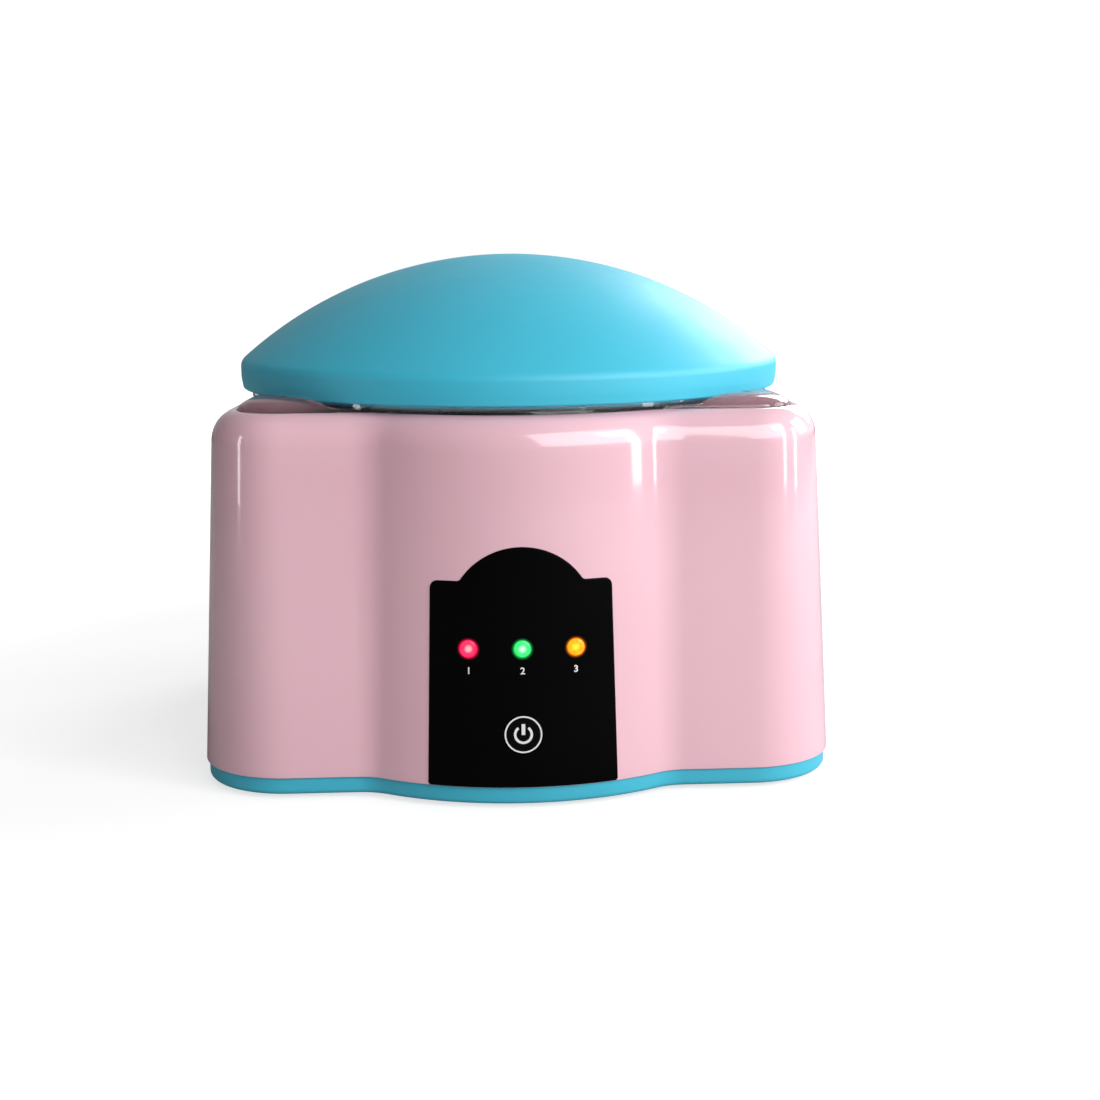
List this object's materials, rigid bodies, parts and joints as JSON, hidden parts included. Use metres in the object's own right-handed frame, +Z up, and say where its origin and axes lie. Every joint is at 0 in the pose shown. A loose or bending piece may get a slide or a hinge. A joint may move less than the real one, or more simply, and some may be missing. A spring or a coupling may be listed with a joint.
{
  "type": "gel polish remover machine",
  "caption": "Tabletop steam bowl in a lobed housing with a bulged front panel, push button and lamps, a clear cover with finger slots and a domed lift-off lid.",
  "frame": {"origin": "on the table, in the middle of the footprint", "axes": "+Z up, the control panel faces -Y, +X to the right as seen from the back"},
  "size_m": [0.2, 0.2063, 0.1639],
  "materials": {
    "housing_gloss_pink": "high gloss injection-moulded ABS, pale rose",
    "base_blue": "satin sky-blue ABS",
    "foot_rubber": "black rubber",
    "fastener_steel": "zinc-plated steel",
    "panel_black": "gloss black",
    "switch_black": "black moulded plastic",
    "circuit_board": "green solder mask",
    "lamp_block_white": "white carrier",
    "lamp_red": "red epoxy lens",
    "lamp_green": "green epoxy lens",
    "lamp_amber": "amber epoxy lens",
    "bowl_metal": "spun aluminium",
    "silicone_white": "soft silicone",
    "heater_aluminium": "cast aluminium",
    "bracket_steel": "zinc-plated sheet",
    "fuse_ceramic": "white ceramic",
    "jack_black": "black nylon",
    "pin_brass": "plated brass",
    "relay_blue": "blue relay case",
    "choke_brown": "enamelled winding",
    "terminal_green": "green terminal block",
    "clear_plastic": "clear polycarbonate",
    "tray_white": "satin white polypropylene",
    "lid_blue": "matt sky-blue ABS"
  },
  "bodies": {
    "housing": {"body_shell": "housing_gloss_pink", "base_plate": "base_blue", "foot_fl": "foot_rubber", "foot_fr": "foot_rubber", "foot_bl": "foot_rubber", "foot_br": "foot_rubber", "case_screw_fl": "fastener_steel", "case_screw_fr": "fastener_steel", "case_screw_bl": "fastener_steel", "case_screw_br": "fastener_steel", "control_panel": "panel_black", "tact_switch": "switch_black", "panel_board": "circuit_board", "panel_screw_1": "fastener_steel", "panel_screw_2": "fastener_steel", "panel_screw_3": "fastener_steel", "panel_screw_4": "fastener_steel", "lamp_block": "lamp_block_white", "lamp_left": "lamp_red", "lamp_middle": "lamp_green", "lamp_right": "lamp_amber", "steam_bowl": "bowl_metal", "bowl_ring": "silicone_white", "heater_disc": "heater_aluminium", "heater_clamp": "bracket_steel", "clamp_nut_l": "fastener_steel", "clamp_nut_r": "fastener_steel", "thermostat": "switch_black", "thermal_fuse": "fuse_ceramic", "dc_jack": "jack_black", "jack_pin": "pin_brass", "jack_nut": "fastener_steel", "main_board": "circuit_board", "board_screw_1": "fastener_steel", "board_screw_2": "fastener_steel", "board_screw_3": "fastener_steel", "board_screw_4": "fastener_steel", "relay": "relay_blue", "capacitor": "switch_black", "choke": "choke_brown", "heat_sink": "heater_aluminium", "terminal_block": "terminal_green"},
    "button": {"power_button": "panel_black", "switch_plunger": "switch_black"},
    "cover": {"clear_cover": "clear_plastic", "finger_tray": "tray_white"},
    "lid": {"lid_shell": "lid_blue", "lid_liner": "lid_blue"}
  },
  "joints": [
    {"name": "cover_lift", "type": "slide", "parent": "housing", "child": "cover", "axis": [0, 0, 1], "range_m": [0, 0.06]},
    {"name": "lid_lift", "type": "slide", "parent": "cover", "child": "lid", "axis": [0, 0, 1], "range_m": [0, 0.08]},
    {"name": "button_press", "type": "slide", "parent": "housing", "child": "button", "axis": [0, 0.9984, -0.0558], "range_m": [0, 0.0006], "stiffness_N_per_m": 2500, "springref_m": -0.0004}
  ]
}
